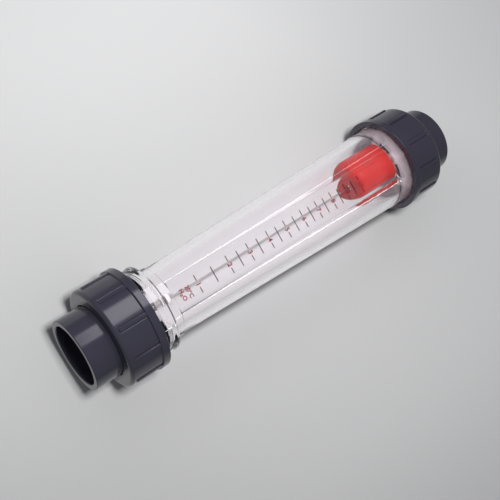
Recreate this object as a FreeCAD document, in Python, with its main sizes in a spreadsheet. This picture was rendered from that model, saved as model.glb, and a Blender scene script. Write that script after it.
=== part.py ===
"""Variable-area flow meter (rotameter) with a clear tapered tube between two union couplings.

The meter stands on its lower pipe socket: Z runs up the tube in the direction of flow, the
origin is the centre of the lower socket's rim, and the scale panel faces -Y.
"""
import FreeCAD, Part
import os
import Sketcher

V = FreeCAD.Vector
UP = FreeCAD.Rotation()
FLIPPED = FreeCAD.Rotation(V(1, 0, 0), 180)

doc = FreeCAD.newDocument("rotameter")

# Driving dimensions in millimetres, degrees and counts.
SIZES = [
    ("tube_length", 392.0, "clear tube, end face to end face"),
    ("face_gap", 0.3, "left between the tube's end face and a socket end"),
    # float and taper
    ("float_rad", 27.5, "largest radius of the float"),
    ("float_length", 52.0, "nose to top"),
    ("nose_land", 1.85, "flat ring round the nose's pocket, inside the nose's rounding"),
    ("nose_recess", 3.5, "depth of the pocket that takes the lower stop"),
    ("float_gap", 0.8, "round the float at the foot of the scale"),
    ("float_wall", 3.5, "shell of the float"),
    ("float_core_wall", 3.5, "wall round the float's middle bore"),
    ("float_floor", 6.0, "solid plastic above the reading edge, under the ballast"),
    ("ballast_headroom", 3.0, "between the steel ring inside the float and its plug"),
    ("ballast_gap", 0.2, "round the ballast ring"),
    ("cap_thickness", 4.0, "plug that closes the float"),
    ("cap_gap", 0.1, "between the plug and the shell"),
    ("taper_start", 74.0, "straight bore above the tube's lower end"),
    ("taper_growth", 10.2, "growth of the bore radius to the upper end"),
    # tube
    ("wall_low", 7.7, "tube wall above the lower collar"),
    ("wall_high", 8.3, "tube wall below the upper collar"),
    ("collar_length", 44.5, "threaded collar at each end"),
    ("collar_wall", 5.0, "collar round the holder's seat"),
    ("rim_rise", 0.8, "rim at the inner end of each collar"),
    ("rim_width", 3.5, "length of that rim"),
    ("neck_length", 11.5, "short neck between the lower collar and the taper"),
    ("neck_rise", 1.8, "neck's radius over the tube's"),
    ("bell_length", 10.0, "wide mouth at the tube's lower end"),
    ("funnel_length", 22.0, "funnel from the wide mouth to the bore"),
    ("panel_width", 34.0, "flat scale panel"),
    ("panel_rise", 0.6, "panel's face over the tube"),
    ("panel_root", 1.8, "panel's root outside the bore"),
    ("panel_gap", 2.0, "between the panel and the upper collar"),
    # socket ends
    ("socket_rad", 31.6, "bore for a 63 mm pipe"),
    ("socket_depth", 38.0, "depth of that bore"),
    ("socket_wall", 6.0, "wall round the pipe"),
    ("mouth_chamfer", 1.5, "lead-in at the mouth"),
    ("rim_chamfer", 0.8, "outer edge of the rim"),
    ("waterway_rad", 25.5, "passage past the pipe's end"),
    ("flange_thickness", 7.7, "flange that the nut pulls on"),
    ("web_thickness", 5.7, "between the pipe's end and the sealing face"),
    ("flange_chamfer", 0.8, "flange edge"),
    # seal
    ("ring_height", 3.0, "squeezed sealing ring along the tube"),
    ("ring_width", 3.0, "squeezed sealing ring across"),
    ("groove_side_gap", 0.1, "either side of the ring in its groove"),
    ("ring_top_gap", 0.1, "between the ring and the tube's end face"),
    # union nuts
    ("thread_room", 2.6, "room for the threads between collar and nut"),
    ("nut_wall", 4.7, "barrel wall outside the threads"),
    ("nut_length", 43.3, "front face to mouth"),
    ("nut_front_wall", 7.9, "shoulder in front of the flange"),
    ("nut_front_gap", 0.6, "round the socket where it leaves the nut"),
    ("nut_front_round", 3.5, "front corner"),
    ("nut_band_rise", 1.9, "plain band over the barrel"),
    ("nut_band_width", 8.3, "plain band at the mouth"),
    ("nut_band_round", 1.0, "edges of the band"),
    ("nut_mouth_chamfer", 1.0, "lead-in of the bore"),
    ("grip_count", 10, "grip bars round the nut"),
    ("grip_rise", 1.0, "bar over the barrel"),
    ("grip_foot", 4.2, "width of a bar at the barrel"),
    ("grip_crest", 2.8, "width of a bar at its crest"),
    ("grip_start", 5.6, "bar's start behind the front face"),
    ("lower_nut_turn", -3.6, "angle of a grip bar from the scale"),
    ("upper_nut_turn", 11.1, "angle of a grip bar from the scale"),
    # guide rod and its holders
    ("rod_rad", 2.0, "stainless guide rod"),
    ("rod_clearance", 0.05, "fixed pieces on the rod"),
    ("slide_clearance", 0.06, "the float's bushes on the rod"),
    ("rod_tip", 1.0, "rod past its nuts"),
    ("rod_chamfer", 0.5, "rod ends"),
    ("seat_step", 1.8, "holder's seat outside the bore"),
    ("seat_clearance", 0.2, "round the holder in its seat"),
    ("holder_thickness", 6.0, "holder's ring and arms"),
    ("holder_ring_width", 8.0, "holder's ring"),
    ("arm_width", 4.0, "holder's arms"),
    ("hub_rad", 7.0, "holder's hub"),
    ("hub_length", 12.0, "holder's hub"),
    ("rod_nut_flats", 7.0, "across flats"),
    ("rod_nut_height", 3.2, "rod nut"),
    ("washer_rad", 5.0, "under a rod nut"),
    ("washer_thickness", 1.0, "under a rod nut"),
    ("sleeve_rad", 3.2, "spacers behind the stops"),
    ("sleeve_length", 47.0, "spacer under the lower stop"),
    ("upper_sleeve_length", 16.0, "spacer over the upper stop"),
    ("bumper_rad", 5.8, "rubber stops"),
    ("bumper_thickness", 4.0, "rubber stops"),
    ("stop_gap", 0.1, "between the float and a stop it rests against"),
    ("bush_flange_rad", 6.6, "steel bushes in the float"),
    ("bush_flange_thickness", 1.5, "steel bushes in the float"),
    ("bush_rad", 4.4, "steel bushes in the float"),
    ("bush_length", 12.0, "steel bushes in the float"),
    ("bush_gap", 0.05, "round a bush in the plastic"),
]


def add_sheet():
    """Put every driving dimension into the spreadsheet under its alias."""
    sheet = doc.addObject("Spreadsheet::Sheet", "Sizes")
    for row, (alias, value, meaning) in enumerate(SIZES, start=1):
        sheet.set("A%d" % row, alias)
        sheet.set("B%d" % row, str(value))
        sheet.set("C%d" % row, meaning)
        sheet.setAlias("B%d" % row, alias)
    doc.recompute()
    return sheet


sheet = add_sheet()


def sized(text):
    """Turn names of sizes in an expression into references to the spreadsheet."""
    words = {alias for alias, value, meaning in SIZES}
    out = ""
    word = ""
    for letter in text + " ":
        if letter.isalnum() or letter == "_":
            word += letter
            continue
        out += ("Sizes." + word if word in words else word) + letter
        word = ""
    return out.strip()


def number(text):
    """Value of an expression in sizes, as the document works it out."""
    value = sheet.evalExpression(sized(text))
    return float(getattr(value, "Value", value))


# Sizes that several pieces share, as expressions in the driving dimensions.
BUSH_POCKET = "(bush_flange_rad + bush_gap)"
NOSE_ROUND = "(float_rad - %s - nose_land)" % BUSH_POCKET
BORE_LOW = "(float_rad + float_gap)"
BORE_HIGH = "(%s + taper_growth)" % BORE_LOW
SEAT = "(%s + seat_step)" % BORE_HIGH
COLLAR = "(%s + collar_wall)" % SEAT
THREAD_BORE = "(%s + thread_room)" % COLLAR
BARREL = "(%s + nut_wall)" % THREAD_BORE
BAND = "(%s + nut_band_rise)" % BARREL
SOCKET_OUTSIDE = "(socket_rad + socket_wall)"
SOCKET_END_LENGTH = "(socket_depth + web_thickness)"
TUBE_FOOT = "(%s + face_gap)" % SOCKET_END_LENGTH
TUBE_HEAD = "(%s + tube_length)" % TUBE_FOOT
OVERALL = "(%s + %s)" % (TUBE_HEAD, TUBE_FOOT)
NUT_SHOULDER = "(%s - flange_thickness)" % SOCKET_END_LENGTH
NUT_FRONT = "(%s - nut_front_wall)" % NUT_SHOULDER
SEAL_RAD = "((%s + %s) / 2)" % (SEAT, COLLAR)
GROOVE_DEPTH = "(ring_height + ring_top_gap - face_gap)"
LOWER_HUB_TOP = "(%s + hub_length)" % TUBE_FOOT
LOWER_STOP = "(%s + sleeve_length + bumper_thickness)" % LOWER_HUB_TOP
UPPER_HUB_FOOT = "(%s - hub_length)" % TUBE_HEAD
UPPER_STOP = "(%s - upper_sleeve_length - bumper_thickness)" % UPPER_HUB_FOOT
FLOAT_TOP = "(%s - stop_gap)" % UPPER_STOP
ROD_END = "(%s - washer_thickness - rod_nut_height - rod_tip)" % TUBE_FOOT


def bind(obj, **expressions):
    """Tie properties of an object to the spreadsheet."""
    for prop, text in expressions.items():
        obj.setExpression(prop.replace("__", "."), sized(text))


def place(obj, height="0", rotation=UP):
    """Stand an object at a height on the axis, turned as given."""
    obj.Placement = FreeCAD.Placement(V(0, 0, number(height)), rotation)
    bind(obj, Placement__Base__z=height)
    return obj


# ---- sketches and features --------------------------------------------------------------

def origin_feature(body, role):
    """One of a body's own origin planes or axes, by its role."""
    for feature in body.Origin.OriginFeatures:
        if feature.Role == role:
            return feature
    raise ValueError("no origin feature " + role)


def add_body(label):
    """Empty body that will carry one sub-part's name."""
    body = doc.addObject("PartDesign::Body", label)
    body.Label = label
    return body


def add_sketch(body, name, role, height=None):
    """Sketch on an origin plane of its body, raised by an expression if one is given."""
    sketch = body.newObject("Sketcher::SketchObject", name)
    sketch.AttachmentSupport = [(origin_feature(body, role), "")]
    sketch.MapMode = "FlatFace"
    if height:
        sketch.setExpression("AttachmentOffset.Base.z", sized(height))
    return sketch


def pin_point(sketch, line, across, along):
    """Hold a line's start point at two expressions, measured from the sketch's origin."""
    for kind, text, axis in (("DistanceX", across, -2), ("DistanceY", along, -1)):
        value = number(text)
        if abs(value) < 1e-9:
            sketch.addConstraint(Sketcher.Constraint("PointOnObject", line, 1, axis))
            continue
        index = sketch.addConstraint(Sketcher.Constraint(kind, -1, 1, line, 1, value))
        sketch.setExpression("Constraints[%d]" % index, sized(text))


def draw_outline(sketch, corners):
    """Closed outline of straight lines through corners given as pairs of expressions."""
    points = [V(number(across), number(along), 0) for across, along in corners]
    count = len(points)
    for index, start in enumerate(points):
        sketch.addGeometry(Part.LineSegment(start, points[(index + 1) % count]), False)
    for index in range(count):
        joint = Sketcher.Constraint("Coincident", index, 2, (index + 1) % count, 1)
        sketch.addConstraint(joint)
    for index, (across, along) in enumerate(corners):
        pin_point(sketch, index, across, along)


def revolve(body, name, corners):
    """Turned solid: an outline of (radius, height) corners spun about Z."""
    sketch = add_sketch(body, name + "_outline", "XZ_Plane")
    draw_outline(sketch, corners)
    turning = body.newObject("PartDesign::Revolution", name)
    turning.Profile = sketch
    turning.ReferenceAxis = (sketch, ["V_Axis"])
    turning.Angle = 360
    doc.recompute()
    return turning


def circular_edges(shape, rings):
    """Names of a shape's circular edges that have the given radii and heights."""
    wanted = [(number(radius), number(height)) for radius, height in rings]
    names = []
    for index, edge in enumerate(shape.Edges, start=1):
        if not isinstance(edge.Curve, Part.Circle):
            continue
        for radius, height in wanted:
            same_radius = abs(edge.Curve.Radius - radius) < 1e-4
            if same_radius and abs(edge.Curve.Center.z - height) < 1e-4:
                names.append("Edge%d" % index)
                break
    return names


def dress(body, kind, name, size, rings):
    """Fillet or Chamfer of one size on circular edges given by radius and height."""
    base = body.Tip
    feature = body.newObject("PartDesign::" + kind, name)
    feature.Base = (base, circular_edges(base.Shape, rings))
    feature.setExpression({"Fillet": "Radius", "Chamfer": "Size"}[kind], sized(size))
    doc.recompute()
    return feature


def ring_solid(label, inner, outer, height, foot, rotation=UP):
    """Plain ring or bush standing on its foot height."""
    body = add_body(label)
    revolve(body, label + "_turning", [
        (inner, "0"), (outer, "0"), (outer, height), (inner, height),
    ])
    return place(body, foot, rotation)


# ---- clear tube -------------------------------------------------------------------------

def tube_outside(height):
    """Outer radius of the tapered tube at a height above its lower end, as an expression."""
    low = "(%s + wall_low)" % BORE_LOW
    high_bore = bore_radius("(tube_length - collar_length)")
    high = "(%s + wall_high)" % high_bore
    span = "(tube_length - 2 * collar_length)"
    return "(%s + (%s - %s) * (%s - collar_length) / %s)" % (low, high, low, height, span)


def bore_radius(height):
    """Radius of the tapered bore at a height above the tube's lower end, as an expression."""
    span = "(tube_length - taper_start)"
    return "(%s + taper_growth * (%s - taper_start) / %s)" % (BORE_LOW, height, span)


def make_tube():
    """Clear moulded tube: tapered bore, two collars, a neck and the flat scale panel."""
    body = add_body("measuring_tube")
    upper_collar = "(tube_length - collar_length)"
    upper_rim_end = "(%s + rim_width)" % upper_collar
    upper_seat = "(tube_length - holder_thickness)"
    neck_end = "(collar_length + neck_length)"
    neck = "(%s + neck_rise)" % tube_outside(neck_end)
    rim = "(%s + rim_rise)" % COLLAR
    bell_end = "(holder_thickness + bell_length)"
    outside = [
        (SEAT, "0"), (COLLAR, "0"),
        (COLLAR, "collar_length - rim_width"), (rim, "collar_length - rim_width"),
        (rim, "collar_length"), (neck, "collar_length"),
        (neck, neck_end), (tube_outside(neck_end), neck_end),
        (tube_outside(upper_collar), upper_collar), (rim, upper_collar),
        (rim, upper_rim_end), (COLLAR, upper_rim_end),
        (COLLAR, "tube_length"), (SEAT, "tube_length"),
    ]
    inside = [
        (SEAT, upper_seat), (bore_radius(upper_seat), upper_seat),
        (BORE_LOW, "taper_start"), (BORE_LOW, "%s + funnel_length" % bell_end),
        (BORE_HIGH, bell_end), (BORE_HIGH, "holder_thickness"), (SEAT, "holder_thickness"),
    ]
    revolve(body, "tube_turning", outside + inside)
    add_panel(body, neck_end, "(%s - panel_gap)" % upper_collar)
    dress(body, "Fillet", "rim_rounding", "rim_rise / 2", [
        (rim, "collar_length"), (rim, "collar_length - rim_width"),
        (rim, upper_collar), (rim, upper_rim_end),
    ])
    return place(body, TUBE_FOOT)


def add_panel(body, start, end):
    """Flat panel for the scale, along the front of the taper."""
    sketch = add_sketch(body, "panel_side", "YZ_Plane")
    draw_outline(sketch, [
        ("-(%s + panel_root)" % BORE_LOW, start),
        ("-(%s + panel_rise)" % tube_outside(start), start),
        ("-(%s + panel_rise)" % tube_outside(end), end),
        ("-(%s + panel_root)" % bore_radius(end), end),
    ])
    panel = body.newObject("PartDesign::Pad", "panel")
    panel.Profile = sketch
    panel.Midplane = True
    panel.setExpression("Length", sized("panel_width"))
    doc.recompute()


# ---- unions -----------------------------------------------------------------------------

def make_socket_end(label, foot, rotation):
    """Tail of a union: pipe socket, flange and the groove for its sealing ring."""
    body = add_body(label)
    groove_in = "(%s - ring_width / 2 - groove_side_gap)" % SEAL_RAD
    groove_out = "(%s + ring_width / 2 + groove_side_gap)" % SEAL_RAD
    groove_floor = "(%s - %s)" % (SOCKET_END_LENGTH, GROOVE_DEPTH)
    revolve(body, label + "_turning", [
        ("socket_rad", "0"), (SOCKET_OUTSIDE, "0"),
        (SOCKET_OUTSIDE, NUT_SHOULDER), (COLLAR, NUT_SHOULDER),
        (COLLAR, SOCKET_END_LENGTH), (groove_out, SOCKET_END_LENGTH),
        (groove_out, groove_floor), (groove_in, groove_floor),
        (groove_in, SOCKET_END_LENGTH), ("waterway_rad", SOCKET_END_LENGTH),
        ("waterway_rad", "socket_depth"), ("socket_rad", "socket_depth"),
    ])
    dress(body, "Chamfer", label + "_mouth", "mouth_chamfer", [("socket_rad", "0")])
    dress(body, "Chamfer", label + "_rim", "rim_chamfer", [(SOCKET_OUTSIDE, "0")])
    dress(body, "Chamfer", label + "_flange", "flange_chamfer", [(COLLAR, NUT_SHOULDER)])
    return place(body, foot, rotation)


def make_sealing_ring(label, foot, rotation):
    """Rubber ring squeezed in the groove of a socket end."""
    body = add_body(label)
    inner = "(%s - ring_width / 2)" % SEAL_RAD
    outer = "(%s + ring_width / 2)" % SEAL_RAD
    revolve(body, label + "_turning", [
        (inner, "0"), (outer, "0"), (outer, "ring_height"), (inner, "ring_height"),
    ])
    dress(body, "Fillet", label + "_rounding", "min(ring_height; ring_width) * 0.4", [
        (inner, "0"), (outer, "0"), (outer, "ring_height"), (inner, "ring_height"),
    ])
    return place(body, foot, rotation)


def make_union_nut(label, foot, rotation):
    """Nut with an inner shoulder, a plain band at its mouth and bars for the grip."""
    body = add_body(label)
    front_hole = "(%s + nut_front_gap)" % SOCKET_OUTSIDE
    band_start = "(nut_length - nut_band_width)"
    revolve(body, label + "_turning", [
        (front_hole, "0"), (BARREL, "0"),
        (BARREL, band_start), (BAND, band_start),
        (BAND, "nut_length"), (THREAD_BORE, "nut_length"),
        (THREAD_BORE, "nut_front_wall"), (front_hole, "nut_front_wall"),
    ])
    dress(body, "Fillet", label + "_front", "nut_front_round", [(BARREL, "0")])
    dress(body, "Fillet", label + "_band_edges", "nut_band_round", [
        (BAND, band_start), (BAND, "nut_length"),
    ])
    dress(body, "Chamfer", label + "_mouth", "nut_mouth_chamfer", [(THREAD_BORE, "nut_length")])
    add_grips(body, label, band_start)
    return place(body, foot, rotation)


def add_grips(body, label, band_start):
    """Grip bars from behind the front corner to the band, spread round the nut."""
    sketch = add_sketch(body, label + "_bar_section", "XY_Plane", "grip_start")
    foot_rad = "(%s - grip_rise)" % BARREL
    crest_rad = "(%s + grip_rise)" % BARREL
    draw_outline(sketch, [
        ("-grip_foot / 2", "-" + foot_rad), ("grip_foot / 2", "-" + foot_rad),
        ("grip_crest / 2", "-" + crest_rad), ("-grip_crest / 2", "-" + crest_rad),
    ])
    bar = body.newObject("PartDesign::Pad", label + "_bar")
    bar.Profile = sketch
    bar.setExpression("Length", sized("%s + nut_band_round - grip_start" % band_start))
    doc.recompute()
    bars = body.newObject("PartDesign::PolarPattern", label + "_bars")
    bars.Originals = [bar]
    bars.Axis = (origin_feature(body, "Z_Axis"), [""])
    bars.Angle = 360
    bars.setExpression("Occurrences", sized("grip_count"))
    body.Tip = bars
    doc.recompute()


def make_union(end, sits_on, rotation, turn):
    """Socket end, sealing ring and nut of one union, from the rim at sits_on inwards."""
    inwards = "+" if rotation is UP else "-"
    groove_floor = "(%s - %s)" % (SOCKET_END_LENGTH, GROOVE_DEPTH)
    nut_spin = rotation.multiply(FreeCAD.Rotation(V(0, 0, 1), number(turn)))
    return [
        make_socket_end(end + "_socket_end", sits_on, rotation),
        make_sealing_ring(end + "_sealing_ring", sits_on + inwards + groove_floor, rotation),
        make_union_nut(end + "_union_nut", sits_on + inwards + NUT_FRONT, nut_spin),
    ]


# ---- guide rod, holders and stops -------------------------------------------------------

def make_rod_holder(label, foot, rotation):
    """Cross-shaped holder: a ring in the tube's seat, four arms and a hub for the rod."""
    body = add_body(label)
    outer = "(%s - seat_clearance)" % SEAT
    inner = "(%s - holder_ring_width)" % outer
    hole = "(rod_rad + rod_clearance)"
    revolve(body, label + "_ring", [
        (inner, "0"), (outer, "0"), (outer, "holder_thickness"), (inner, "holder_thickness"),
    ])
    half = "arm_width / 2"
    reach = "(%s + holder_ring_width / 2)" % inner
    sketch = add_sketch(body, label + "_arm_plan", "XY_Plane")
    draw_outline(sketch, [
        (half, "-" + half), (reach, "-" + half), (reach, half), (half, half),
        (half, reach), ("-" + half, reach), ("-" + half, half), ("-" + reach, half),
        ("-" + reach, "-" + half), ("-" + half, "-" + half), ("-" + half, "-" + reach),
        (half, "-" + reach),
    ])
    arms = body.newObject("PartDesign::Pad", label + "_arms")
    arms.Profile = sketch
    arms.setExpression("Length", sized("holder_thickness"))
    doc.recompute()
    add_disc(body, label + "_hub", "hub_rad", "hub_length", "PartDesign::Pad")
    add_disc(body, label + "_rod_hole", hole, "hub_length", "PartDesign::Pocket")
    return place(body, foot, rotation)


def add_disc(body, name, radius, height, kind):
    """Round boss or round hole on the axis, upwards from the body's base plane."""
    sketch = add_sketch(body, name + "_circle", "XY_Plane")
    sketch.addGeometry(Part.Circle(V(0, 0, 0), V(0, 0, 1), number(radius)), False)
    sketch.addConstraint(Sketcher.Constraint("Coincident", 0, 3, -1, 1))
    index = sketch.addConstraint(Sketcher.Constraint("Radius", 0, number(radius)))
    sketch.setExpression("Constraints[%d]" % index, sized(radius))
    feature = body.newObject(kind, name)
    feature.Profile = sketch
    feature.setExpression("Length", sized(height))
    if kind == "PartDesign::Pocket":
        feature.Reversed = True
    doc.recompute()


def make_rod():
    """Guide rod through both holders, with chamfered ends."""
    body = add_body("guide_rod")
    length = "(%s - 2 * %s)" % (OVERALL, ROD_END)
    add_disc(body, "rod_bar", "rod_rad", length, "PartDesign::Pad")
    dress(body, "Chamfer", "rod_ends", "rod_chamfer", [("rod_rad", "0"), ("rod_rad", length)])
    return place(body, ROD_END)


def make_rod_nut(label, foot, rotation):
    """Hexagon nut on the rod's end."""
    hexagon = doc.addObject("Part::Prism", label + "_hexagon")
    hexagon.Polygon = 6
    bind(hexagon, Circumradius="rod_nut_flats / 2 / cos(30)", Height="rod_nut_height")
    hole = doc.addObject("Part::Cylinder", label + "_hole")
    bind(hole, Radius="rod_rad + rod_clearance", Height="rod_nut_height")
    nut = doc.addObject("Part::Cut", label)
    nut.Base = hexagon
    nut.Tool = hole
    nut.Label = label
    doc.recompute()
    return place(nut, foot, rotation)


def make_rod_set():
    """Rod, holders, washers, nuts, spacers and stops."""
    hole = "(rod_rad + rod_clearance)"
    lower_washer = "(%s - washer_thickness)" % TUBE_FOOT
    upper_washer = "(%s + washer_thickness)" % TUBE_HEAD
    lower_nut = "(%s - rod_nut_height)" % lower_washer
    upper_nut = "(%s + rod_nut_height)" % upper_washer
    lower_bumper = "(%s - bumper_thickness)" % LOWER_STOP
    return [
        make_rod_holder("lower_rod_holder", TUBE_FOOT, UP),
        make_rod_holder("upper_rod_holder", TUBE_HEAD, FLIPPED),
        make_rod(),
        ring_solid("lower_rod_washer", hole, "washer_rad", "washer_thickness", lower_washer),
        ring_solid("upper_rod_washer", hole, "washer_rad", "washer_thickness", upper_washer, FLIPPED),
        make_rod_nut("lower_rod_nut", lower_nut, UP),
        make_rod_nut("upper_rod_nut", upper_nut, FLIPPED),
        ring_solid("stop_sleeve", hole, "sleeve_rad", "sleeve_length", LOWER_HUB_TOP),
        ring_solid("upper_stop_sleeve", hole, "sleeve_rad", "upper_sleeve_length",
                   UPPER_HUB_FOOT, FLIPPED),
        ring_solid("lower_bumper", hole, "bumper_rad", "bumper_thickness", lower_bumper),
        ring_solid("upper_bumper", hole, "bumper_rad", "bumper_thickness", UPPER_STOP),
    ]


# ---- float ------------------------------------------------------------------------------

def make_float():
    """Float at the top of its travel: shell, ballast ring, plug and two bushes."""
    nose = "(%s - float_length)" % FLOAT_TOP
    bush_hole = "(bush_rad + bush_gap)"
    cavity_in = "(%s + float_core_wall)" % bush_hole
    cavity_out = "(float_rad - float_wall)"
    cavity_floor = "(%s + float_floor)" % NOSE_ROUND
    shell = add_body("float_shell")
    revolve(shell, "float_turning", [
        (BUSH_POCKET, "0"), ("float_rad", "0"), ("float_rad", "float_length"),
        (cavity_out, "float_length"), (cavity_out, cavity_floor),
        (cavity_in, cavity_floor), (cavity_in, "float_length - cap_thickness"),
        (bush_hole, "float_length - cap_thickness"),
        (bush_hole, "nose_recess + bush_flange_thickness"),
        (BUSH_POCKET, "nose_recess + bush_flange_thickness"),
    ])
    dress(shell, "Fillet", "float_nose", NOSE_ROUND, [("float_rad", "0")])
    place(shell, nose)
    ballast = ring_solid(
        "float_ballast", cavity_in + " + ballast_gap", cavity_out + " - ballast_gap",
        "float_length - cap_thickness - %s - ballast_headroom" % cavity_floor,
        "%s + %s" % (nose, cavity_floor))
    cap = add_body("float_cap")
    cap_bottom = "(%s - cap_thickness)" % FLOAT_TOP
    revolve(cap, "cap_turning", [
        (bush_hole, "0"), (cavity_out + " - cap_gap", "0"),
        (cavity_out + " - cap_gap", "cap_thickness"), (BUSH_POCKET, "cap_thickness"),
        (BUSH_POCKET, "cap_thickness - bush_flange_thickness"),
        (bush_hole, "cap_thickness - bush_flange_thickness"),
    ])
    place(cap, cap_bottom)
    return [
        shell, ballast, cap,
        make_bush("nose_bush", "%s + nose_recess" % nose, UP),
        make_bush("cap_bush", FLOAT_TOP, FLIPPED),
    ]


def make_bush(label, foot, rotation):
    """Flanged steel bush that runs on the rod."""
    body = add_body(label)
    hole = "(rod_rad + slide_clearance)"
    revolve(body, label + "_turning", [
        (hole, "0"), ("bush_flange_rad", "0"),
        ("bush_flange_rad", "bush_flange_thickness"), ("bush_rad", "bush_flange_thickness"),
        ("bush_rad", "bush_length"), (hole, "bush_length"),
    ])
    return place(body, foot, rotation)


# ---- whole meter ------------------------------------------------------------------------

def check(parts):
    """Stop before anything is written if a feature failed or a sub-part isn't a solid."""
    for obj in doc.Objects:
        if "Invalid" in obj.State or "Error" in obj.State:
            raise ValueError("feature failed: " + obj.Name)
    for part in parts:
        if part.Shape.isNull() or not part.Shape.isValid() or not part.Shape.Solids:
            raise ValueError("sub-part isn't a valid solid: " + part.Label)


def main():
    """Build every sub-part, check them all and write one STEP file for each."""
    parts = [make_tube()]
    parts += make_union("lower", "0", UP, "lower_nut_turn")
    parts += make_union("upper", OVERALL, FLIPPED, "upper_nut_turn")
    parts += make_rod_set()
    parts += make_float()
    doc.recompute()
    check(parts)
    os.makedirs("parts", exist_ok=True)
    for part in parts:
        part.Shape.exportStep("parts/%s.step" % part.Label)
        box = part.Shape.BoundBox
        print("%-18s z %7.2f to %7.2f  volume %9.0f mm3  %d solid(s)" % (
            part.Label, box.ZMin, box.ZMax, part.Shape.Volume, len(part.Shape.Solids)))
    print("meter %.2f mm tall, float travels %.2f mm" % (
        number(OVERALL), number("%s - float_length + nose_recess - %s - stop_gap" % (
            FLOAT_TOP, LOWER_STOP))))


main()
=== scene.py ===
"""Dressed model of a clear-tube flow meter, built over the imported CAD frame.

Every visible CAD solid is replaced by a finely turned or lofted piece with moulded edges,
real screw threads and a procedural finish, and the scale is printed on the tube's flat panel.
Lengths in the classes below are in millimetres, those of the studio in metres.
"""
import logging
import math
from dataclasses import dataclass, field
from enum import Enum
from typing import Iterable, Sequence

import bmesh
import bpy
from mathutils import Matrix, Vector


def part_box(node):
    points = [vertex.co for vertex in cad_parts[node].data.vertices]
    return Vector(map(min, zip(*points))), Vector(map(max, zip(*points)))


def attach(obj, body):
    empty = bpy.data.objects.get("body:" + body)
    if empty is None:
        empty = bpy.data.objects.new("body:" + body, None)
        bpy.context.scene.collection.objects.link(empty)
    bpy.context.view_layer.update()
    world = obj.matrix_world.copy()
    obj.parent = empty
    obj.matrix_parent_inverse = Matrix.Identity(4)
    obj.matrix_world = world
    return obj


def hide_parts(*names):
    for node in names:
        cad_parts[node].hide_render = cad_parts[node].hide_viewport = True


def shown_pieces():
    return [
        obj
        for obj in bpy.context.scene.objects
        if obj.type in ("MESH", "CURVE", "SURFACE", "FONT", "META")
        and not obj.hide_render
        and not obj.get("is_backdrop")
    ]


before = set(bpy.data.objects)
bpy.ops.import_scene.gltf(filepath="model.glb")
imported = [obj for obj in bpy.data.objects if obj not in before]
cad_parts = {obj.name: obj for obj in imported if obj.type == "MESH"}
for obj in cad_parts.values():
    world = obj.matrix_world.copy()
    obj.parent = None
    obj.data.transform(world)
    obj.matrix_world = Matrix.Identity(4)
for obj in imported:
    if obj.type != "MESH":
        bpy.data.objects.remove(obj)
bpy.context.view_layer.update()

LOG = logging.getLogger("rotameter")

MM = 0.001
TAU = 2 * math.pi
FRONT = -math.pi / 2  # polar angle of the scale's side, -Y

Point = tuple[float, float]
Corner = tuple[float, float, float]  # distance from the axis, height and rounding
Value = float | Sequence[float] | bpy.types.NodeSocket


class Body(str, Enum):
    """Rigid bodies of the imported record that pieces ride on."""

    TUBE = "tube"
    FLOAT = "float"
    LOWER_TAIL = "lower_tail"
    LOWER_NUT = "lower_nut"
    UPPER_TAIL = "upper_tail"
    UPPER_NUT = "upper_nut"


class End(str, Enum):
    """Ends of the meter."""

    LOWER = "lower"
    UPPER = "upper"


# ---- finishes ---------------------------------------------------------------------------

class Graph:
    """Shader nodes of a material or of the world."""

    def __init__(self, owner: bpy.types.Material | bpy.types.World) -> None:
        """Switch the owner's nodes on."""
        owner.use_nodes = True
        self.nodes, self.links = owner.node_tree.nodes, owner.node_tree.links

    def feed(self, node: bpy.types.Node, inputs: dict[str | int, Value]) -> None:
        """Give a node's inputs a value each, or a link from a socket.

        Args:
            node: the node.
            inputs: number, colour or socket for the inputs' names or places.
        """
        for key, value in inputs.items():
            if isinstance(value, bpy.types.NodeSocket):
                self.links.new(value, node.inputs[key])
            else:
                node.inputs[key].default_value = value

    def add(self, kind: str, inputs: dict[str | int, Value] | None = None,
            **options: str | bool) -> bpy.types.Node:
        """Add a node.

        Args:
            kind: its type, without the part that all types share.
            inputs: its inputs, as feed takes them.
            **options: its own options.

        Returns:
            The node.
        """
        node = self.nodes.new("ShaderNode" + kind)
        for option, value in options.items():
            setattr(node, option, value)
        self.feed(node, inputs or {})
        return node

    def calc(self, operation: str, *terms: Value) -> bpy.types.NodeSocket:
        """Result of an operation on sockets and numbers."""
        node = self.add("Math", dict(enumerate(terms)), operation=operation)
        return node.outputs["Value"]

    def ramp(self, value: Value, ends: Point, top: float = 1.0) -> bpy.types.NodeSocket:
        """Smooth rise from 0 to a top while a value goes from one end to the other.

        Args:
            value: the value.
            ends: where the rise starts and ends.
            top: its height.

        Returns:
            Socket with the result.
        """
        node = self.add("MapRange", {"Value": value, "From Min": ends[0], "From Max": ends[1],
                                     "To Max": top}, interpolation_type="SMOOTHSTEP")
        return node.outputs["Result"]

    def along(self, way: Sequence[float]) -> bpy.types.NodeSocket:
        """Place on the surface measured along a direction.

        Args:
            way: the direction.

        Returns:
            Socket with the distance in metres.
        """
        place = self.add("TexCoord").outputs["Object"]
        node = self.add("VectorMath", {0: place, 1: way}, operation="DOT_PRODUCT")
        return node.outputs["Value"]

    def show(self, output: str, share: Value, *shaders: bpy.types.Node) -> None:
        """Show the first of two shaders, which gives way to the second by a share.

        Args:
            output: type of the output node.
            share: share of the second shader.
            *shaders: the two shaders.
        """
        first, second = (shader.outputs[0] for shader in shaders)
        mix = self.add("MixShader", {"Fac": share, 1: first, 2: second})
        self.add(output, {"Surface": mix.outputs["Shader"]})


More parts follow.
